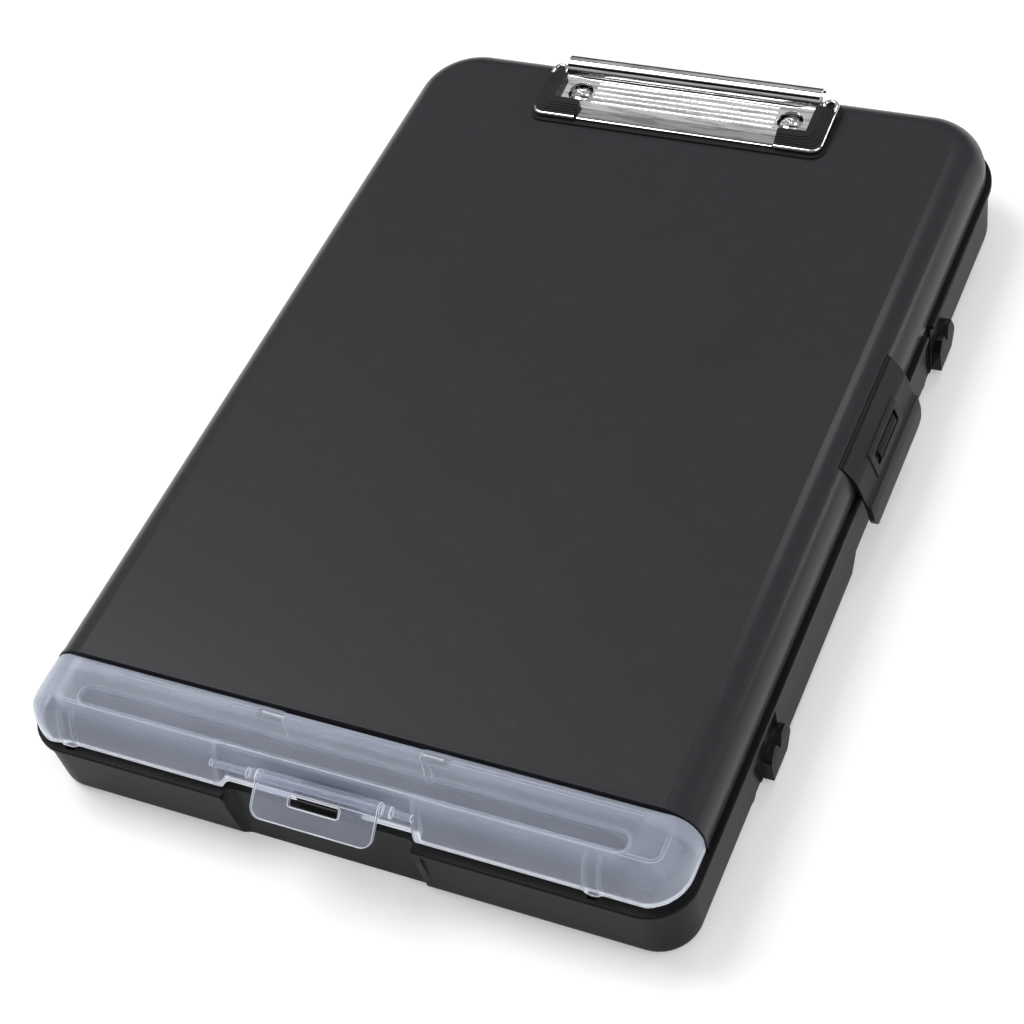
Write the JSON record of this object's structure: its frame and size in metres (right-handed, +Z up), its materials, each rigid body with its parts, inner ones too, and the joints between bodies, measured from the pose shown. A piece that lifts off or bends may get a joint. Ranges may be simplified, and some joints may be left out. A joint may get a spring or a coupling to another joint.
{
  "type": "storage clipboard box",
  "caption": "Flat lidded document case with a writing board on top, a spring clip at the back, a side latch and a pen compartment under a frosted door at the front.",
  "frame": {"origin": "on the surface that the case lies on, under the middle of the base's footprint", "axes": "+Z up out of the writing face, +Y along the case from the pen door to the clip, +X to the side with the latch"},
  "size_m": [0.2481, 0.3606, 0.054],
  "materials": {
    "case_plastic": "satin black moulded plastic",
    "lid_plastic": "charcoal plastic with a fine even grain",
    "latch_plastic": "satin black moulded plastic",
    "frosted_plastic": "frosted translucent plastic",
    "pin_steel": "drawn steel",
    "clip_chrome": "bright plated steel",
    "pad_rubber": "matte black pad",
    "grip_plastic": "matte black stepped corner grips"
  },
  "bodies": {
    "base": {"base_shell": "case_plastic", "pen_tray": "frosted_plastic", "lid_hinge_pins": "pin_steel", "pen_door_hinge_pin": "pin_steel"},
    "lid": {"lid_board": "lid_plastic", "side_latch_pin": "pin_steel", "clip_pad": "pad_rubber", "clip_base_plate": "clip_chrome", "clip_rivets": "clip_chrome", "clip_rivet_washers": "pin_steel", "clip_pivot_rod": "pin_steel", "clip_torsion_springs": "pin_steel"},
    "clip_jaw": {"clip_jaw": "clip_chrome", "clip_wire_bail": "clip_chrome", "clip_grip_left": "grip_plastic", "clip_grip_right": "grip_plastic"},
    "side_latch": {"side_latch": "latch_plastic"},
    "pen_door": {"pen_door": "frosted_plastic", "pen_tab_pin": "frosted_plastic"},
    "pen_tab": {"pen_tab": "frosted_plastic"}
  },
  "joints": [
    {"name": "lid_hinge", "type": "hinge", "parent": "base", "child": "lid", "pos_m": [-0.121, 0, 0.0256], "axis": [0, -1, 0], "range_deg": [0, 170]},
    {"name": "side_latch_hinge", "type": "hinge", "parent": "lid", "child": "side_latch", "pos_m": [0.1133, 0.0215, 0.0394], "axis": [0, -1, 0], "range_deg": [0, 80]},
    {"name": "clip_jaw_hinge", "type": "hinge", "parent": "lid", "child": "clip_jaw", "pos_m": [0, 0.163, 0.0495], "axis": [-1, 0, 0], "range_deg": [0, 30], "stiffness_Nm_per_rad": 0.25, "springref_deg": -28.65},
    {"name": "pen_door_hinge", "type": "hinge", "parent": "base", "child": "pen_door", "pos_m": [0, -0.1514, 0.0426], "axis": [-1, 0, 0], "range_deg": [0, 90]},
    {"name": "pen_tab_hinge", "type": "hinge", "parent": "pen_door", "child": "pen_tab", "pos_m": [-0.0028, -0.172, 0.0396], "axis": [-1, 0, 0], "range_deg": [-46, 60]}
  ]
}
